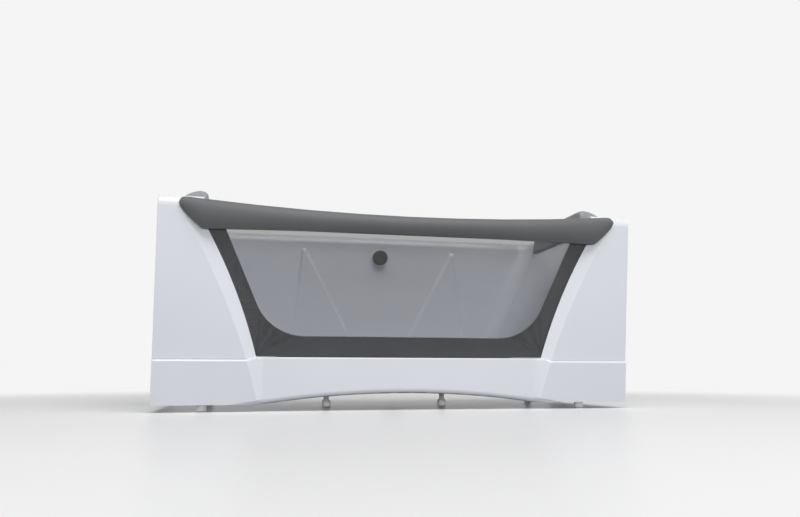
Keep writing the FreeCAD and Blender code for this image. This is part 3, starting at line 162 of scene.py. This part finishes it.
# Headrests: moulded cushions of soft skin foam on both ends of the rim, held by pegs through it.
# A thin hem hangs over the rolled lip and closes on the sloping end wall.
CUSHION_MIDDLE = -0.062
CUSHION_HALF = 0.218
CUSHION_FACE = 0.697
CUSHION_PEAK = 0.722
CUSHION_OUTER = 0.795
CUSHION_RISE = 0.043
CUSHION_TUCK = 0.013
CUSHION_DRAW = 0.010
CUSHION_HEM = 0.005
DRAWN_SHARE = 0.55
SHOULDER_SHARE = 0.62
SLOPE_POWER = 1.9
SLOPE_BULGE = 0.92
DOME_PLACES = (0.0, 0.86, 0.95, 1.0)
DOME_SHARES = (1.0, 0.98, 0.92, 0.78)
END_ROUND = 0.007
RIM_HEIGHT = 0.715
RIM_CLEAR = 0.0004
LIP_ROUND = 0.038
LIP_CORNER = 0.720
END_WALL_DROP = 0.510
END_WALL_RUN = 0.250
END_SLOPE = math.atan2(END_WALL_DROP, END_WALL_RUN)
LIP_X = LIP_CORNER + LIP_ROUND * math.tan(END_SLOPE / 2)
QUARTER_TURN = math.pi / 2
STRAIGHT_POINTS = 10
CROWN_POINTS = 16
SLOPE_POINTS = 26
LIP_POINTS = 12
HEM_SKIP = 3
DOME_ROWS = 61
CAP_ROWS = 9


def cushion_section(fullness):
    """Closed ring of (x, z): up the inner face, a quarter ellipse to the crown, an easing slope to the
    outer edge, back along the rim, down the rolled lip and the end wall to the hem. There is a row for
    each fullness, from 0 to 1."""
    fullness = fullness[:, None]
    draw = CUSHION_DRAW * (1 - np.maximum(fullness, DRAWN_SHARE))
    face = CUSHION_FACE + draw
    outer = CUSHION_OUTER - draw
    tuck = face - CUSHION_TUCK
    crown = RIM_HEIGHT + CUSHION_RISE * fullness
    shoulder = RIM_HEIGHT + CUSHION_RISE * SHOULDER_SHARE * fullness
    rest = RIM_HEIGHT + RIM_CLEAR
    roll = LIP_ROUND + RIM_CLEAR
    lip_z = RIM_HEIGHT - LIP_ROUND
    tangent_x = LIP_X - roll * math.sin(END_SLOPE)
    tangent_z = lip_z + roll * math.cos(END_SLOPE)
    hem_x = tuck + CUSHION_HEM
    hem_z = tangent_z - (tangent_x - hem_x) * math.tan(END_SLOPE)
    up = np.linspace(0, 1, STRAIGHT_POINTS)[None, :]
    quarter = np.linspace(0, QUARTER_TURN, CROWN_POINTS)[None, 1:]
    ease = np.linspace(0, 1, SLOPE_POINTS)[None, 1:]
    around = np.linspace(QUARTER_TURN, QUARTER_TURN - END_SLOPE, LIP_POINTS)[None, :]
    stretches = (
        (tuck + (face - tuck) * up, hem_z + (shoulder - hem_z) * up),
        (CUSHION_PEAK - (CUSHION_PEAK - face) * np.cos(quarter),
         shoulder + (crown - shoulder) * np.sin(quarter)),
        (CUSHION_PEAK + (outer - CUSHION_PEAK) * ease,
         rest + (crown - rest) * (1 - ease ** SLOPE_POWER) ** SLOPE_BULGE),
        (outer + (LIP_X - outer) * up[:, 1:-1], rest),
        (LIP_X - roll * np.cos(around), lip_z + roll * np.sin(around)),
        (tangent_x + (hem_x - tangent_x) * up[:, 1:], tangent_z + (hem_z - tangent_z) * up[:, 1:]),
        (hem_x + (tuck - hem_x) * up[:, HEM_SKIP:-HEM_SKIP], hem_z))
    xs, zs, _ = zip(*[np.broadcast_arrays(x, z, fullness) for x, z in stretches])
    return np.concatenate(xs, axis=1), np.concatenate(zs, axis=1)


def cushion_rows():
    """Places along the cushion and its fullness there: a flat dome with a quarter round at each end."""
    along = np.linspace(-1, 1, DOME_ROWS)
    fullness = np.interp(np.abs(along), DOME_PLACES, DOME_SHARES)
    turn = np.linspace(0, QUARTER_TURN, CAP_ROWS)[1:]
    cap = DOME_SHARES[-1] * np.cos(turn)
    reach = CUSHION_HALF + END_ROUND * np.sin(turn)
    y = np.concatenate([-reach[::-1], along * CUSHION_HALF, reach])
    return CUSHION_MIDDLE + y, np.concatenate([cap[::-1], fullness, cap])


def put_in_scene(name, data):
    """A new object at the origin for a mesh, lamp or camera, linked into the scene."""
    item = bpy.data.objects.new(name, data)
    bpy.context.scene.collection.objects.link(item)
    return item


def closed_grid(name, x, y, z, material):
    """A closed skin over a grid of rings: quads between neighbours, and one face across each end ring."""
    rings, count = x.shape
    index = np.arange(rings * count).reshape(rings, count)
    step = np.roll(index, -1, axis=1)
    quads = np.stack([index[:-1], index[1:], step[1:], step[:-1]], axis=-1).reshape(-1, 4)
    faces = quads.tolist() + [index[0].tolist(), index[-1][::-1].tolist()]
    mesh = bpy.data.meshes.new(name)
    mesh.from_pydata(np.stack([x, y, z], axis=-1).reshape(-1, 3).tolist(), [], faces)
    mesh.update()
    mesh.shade_smooth()
    mesh.materials.append(material)
    return put_in_scene(name, mesh)


foam = surface("skin_foam", pale=(0.280, 0.290, 0.302), dark=(0.254, 0.263, 0.274), cloud_scale=14.0,
               roughness=(0.48, 0.62), grain_scale=420.0, grain_depth=0.00012)
cushion_y, cushion_fullness = cushion_rows()
cushion_x, cushion_z = cushion_section(cushion_fullness)
cushion_y = np.broadcast_to(cushion_y[:, None], cushion_x.shape)
for side, sign in (("right", 1), ("left", -1)):
    order = slice(None, None, -sign)
    cushion = closed_grid("cushion_" + side, sign * cushion_x[:, order], cushion_y, cushion_z[:, order], foam)
    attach(cushion, "bath")
    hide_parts("headrest_" + side)
block_plastic = surface("block_plastic", pale=(0.30, 0.30, 0.31), dark=(0.26, 0.26, 0.27), cloud_scale=12.0,
                        roughness=(0.45, 0.6), grain_scale=500.0, grain_depth=0.00005)
dress(block_plastic, "headrest_pegs")

# Overflow and waste: a dark knob before a bright flange in the back wall, a bright plug in the floor,
# and the grey moulded cups, trap, pipe, ribbed hose and black cable that join them behind the bowl.
knob_finish = surface("knob_satin", pale=(0.054, 0.055, 0.057), dark=(0.044, 0.045, 0.047), cloud_scale=20.0,
                      roughness=(0.30, 0.38), grain_scale=900.0, grain_depth=0.00003)
dress(knob_finish, "overflow_knob")
chrome = surface("bright_chrome", pale=(0.82, 0.83, 0.84), dark=(0.76, 0.77, 0.78), cloud_scale=30.0,
                 roughness=(0.06, 0.12), grain_scale=700.0, grain_depth=0.00001, metallic=1.0)
dress(chrome, "overflow_flange", "waste_flange", "waste_plug")
pipe_plastic = surface("pipe_plastic", pale=(0.62, 0.63, 0.64), dark=(0.57, 0.58, 0.59), cloud_scale=10.0,
                       roughness=(0.35, 0.5), grain_scale=400.0, grain_depth=0.00006)
dress(pipe_plastic, "overflow_body", "overflow_hose", "waste_body", "trap_bend", "trap_nuts", "outlet_pipe")
dress(rubber, "overflow_gasket", "waste_gasket", "plug_cable")

# Frame: welded square tube with zinc plate, brackets to the columns, blocks and clips to the skins,
# and a raw chipboard bonded under the floor of the basin.
dress(zinc, *[name for name in nodes if name.startswith(("frame_", "column_brackets"))])
dress(block_plastic, "end_panel_spacers", "plinth_spacers", "plinth_clips")
board = surface("chipboard", pale=(0.62, 0.47, 0.30), dark=(0.45, 0.32, 0.19), cloud_scale=160.0,
                roughness=(0.7, 0.9), grain_scale=500.0, grain_depth=0.0002)
dress(board, "floor_board")

# Levelling feet: six stems of white moulded nylon that turn in zinc nuts welded to the frame.
# Lock nuts keep their height, and bullet-shaped pads stand on the floor.
dress(zinc, "foot_nuts", "foot_lock_nuts")
nylon = surface("white_nylon", pale=(0.84, 0.84, 0.83), dark=(0.80, 0.80, 0.79), cloud_scale=18.0,
                roughness=(0.4, 0.55), grain_scale=500.0, grain_depth=0.00006)
for corner in ("front_left", "front_right", "rear_left", "rear_right", "middle_left", "middle_right"):
    dress(nylon, "foot_" + corner, "foot_pad_" + corner)

# Studio: a pale floor that keeps the shadow near the bath and fades into the pale surround further out, a dim
# even sky, a broad soft lamp high before the front, and a low wide lamp on each of the four sides.
SURROUND = (0.913, 0.913, 0.913, OPAQUE)
FLOOR_SPAN = 60.0
FLOOR_CORNERS = ((-1, -1), (1, -1), (1, 1), (-1, 1))
FLOOR_BOUNCE = (0.10, 0.10, 0.10, OPAQUE)
FLOOR_SHINE = 0.06
SHADOW_REACH = 1.3
FADE_REACH = 3.6
SKY_COLOUR = (0.97, 0.98, 1.0, OPAQUE)
SKY_STRENGTH = 0.10
LOW_LEVEL = 0.35
LOW_BAND = 0.6
LOW_AWAY = 5.0
SIDE_Y = 0.1


def seen_directly(tree):
    """A node with value 1 on rays from camera, mirrors or glass, and 0 on those that light the object."""
    path = add_node(tree, "ShaderNodeLightPath")
    mirrored = add_node(tree, "ShaderNodeMath", operation="MAXIMUM")
    seen = add_node(tree, "ShaderNodeMath", operation="MAXIMUM")
    add_links(tree, (path, "Is Camera Ray", mirrored, 0), (path, "Is Glossy Ray", mirrored, 1),
              (mirrored, "Value", seen, 0), (path, "Is Transmission Ray", seen, 1))
    return seen


floor_mesh = bpy.data.meshes.new("studio_floor")
floor_mesh.from_pydata([(x * FLOOR_SPAN, y * FLOOR_SPAN, 0.0) for x, y in FLOOR_CORNERS], [], [(0, 1, 2, 3)])
floor = put_in_scene("studio_floor", floor_mesh)
floor_finish = surface("studio_floor", pale=(0.89, 0.89, 0.89), dark=(0.88, 0.88, 0.88), cloud_scale=0.4,
                       roughness=(0.30, 0.34), grain_scale=40.0, grain_depth=0.00001)
floor_tree = floor_finish.node_tree
floor_shader = floor_tree.nodes["Principled BSDF"]
floor_shader.inputs["Specular IOR Level"].default_value = FLOOR_SHINE
floor_seen = seen_directly(floor_tree)
floor_tone = add_node(floor_tree, "ShaderNodeMixRGB", {"Color1": FLOOR_BOUNCE})
floor_place = add_node(floor_tree, "ShaderNodeTexCoord")
floor_reach = add_node(floor_tree, "ShaderNodeVectorMath", operation="LENGTH")
floor_fade = add_node(floor_tree, "ShaderNodeMapRange", {"From Min": SHADOW_REACH, "From Max": FADE_REACH},
                      interpolation_type="SMOOTHSTEP")
floor_share = add_node(floor_tree, "ShaderNodeMath", operation="MULTIPLY")
floor_glow = add_node(floor_tree, "ShaderNodeEmission", {"Color": SURROUND})
floor_mix = add_node(floor_tree, "ShaderNodeMixShader")
add_links(floor_tree, (floor_seen, "Value", floor_tone, "Fac"),
          (floor_tree.nodes["Color Ramp"], "Color", floor_tone, "Color2"),
          (floor_tone, "Color", floor_shader, "Base Color"), (floor_place, "Object", floor_reach, 0),
          (floor_reach, "Value", floor_fade, "Value"), (floor_fade, "Result", floor_share, 0),
          (floor_seen, "Value", floor_share, 1), (floor_share, "Value", floor_mix, "Fac"),
          (floor_shader, "BSDF", floor_mix, 1), (floor_glow, "Emission", floor_mix, 2),
          (floor_mix, "Shader", floor_tree.nodes["Material Output"], "Surface"))
floor_mesh.materials.append(floor_finish)

world = bpy.data.worlds.new("studio")
bpy.context.scene.world = world
world.use_nodes = True
sky = world.node_tree
ambient = sky.nodes["Background"]
ambient.inputs["Color"].default_value = SKY_COLOUR
ambient.inputs["Strength"].default_value = SKY_STRENGTH
shown = add_node(sky, "ShaderNodeBackground", {"Color": SURROUND})
choose = add_node(sky, "ShaderNodeMixShader")
add_links(sky, (seen_directly(sky), "Value", choose, "Fac"), (ambient, "Background", choose, 1),
          (shown, "Background", choose, 2), (choose, "Shader", sky.nodes["World Output"], "Surface"))


def soft_lamp(name, width, height, power, place, aim, mirrored):
    """A rectangular lamp turned from its place to its aim. Glossy faces show it only if it is mirrored."""
    light = bpy.data.lights.new(name, "AREA")
    light.shape = "RECTANGLE"
    light.size = width
    light.size_y = height
    light.energy = power
    lamp = put_in_scene(name, light)
    lamp.location = place
    lamp.rotation_euler = Vector(np.subtract(aim, place)).to_track_quat("-Z", "Y").to_euler()
    lamp.visible_glossy = mirrored


soft_lamp("key_lamp", width=4.0, height=4.0, power=200.0, place=(0.2, -2.6, 4.5), aim=(0.0, -0.2, 0.3),
          mirrored=True)
soft_lamp("low_lamp", width=4.0, height=LOW_BAND, power=107.0, place=(0.0, -LOW_AWAY, LOW_LEVEL),
          aim=(0.0, 0.0, LOW_LEVEL), mirrored=False)
soft_lamp("left_lamp", width=3.0, height=LOW_BAND, power=70.0, place=(-LOW_AWAY, SIDE_Y, LOW_LEVEL),
          aim=(0.0, SIDE_Y, LOW_LEVEL), mirrored=False)
soft_lamp("right_lamp", width=3.0, height=LOW_BAND, power=70.0, place=(LOW_AWAY, SIDE_Y, LOW_LEVEL),
          aim=(0.0, SIDE_Y, LOW_LEVEL), mirrored=False)
soft_lamp("back_lamp", width=4.0, height=LOW_BAND, power=55.0, place=(0.0, LOW_AWAY, LOW_LEVEL),
          aim=(0.0, 0.0, LOW_LEVEL), mirrored=False)

# Camera: low before the bath and left of its middle, turned towards it and tilted a little up.
# Its angles are in degrees, and it looks level at 90.
CAMERA_SENSOR = 36.0
CAMERA_LENS = 31.46
CAMERA_PLACE = (-0.541, -2.7265, 0.1222)
CAMERA_LEVEL = 90
CAMERA_TILT = 9.45
CAMERA_TURN = -12.13
camera_data = bpy.data.cameras.new("camera")
camera_data.sensor_width = CAMERA_SENSOR
camera_data.lens = CAMERA_LENS
camera = put_in_scene("camera", camera_data)
camera.location = CAMERA_PLACE
camera.rotation_euler = (math.radians(CAMERA_LEVEL + CAMERA_TILT), 0.0, math.radians(CAMERA_TURN))
bpy.context.scene.camera = camera
bpy.context.scene.view_settings.view_transform = "Standard"
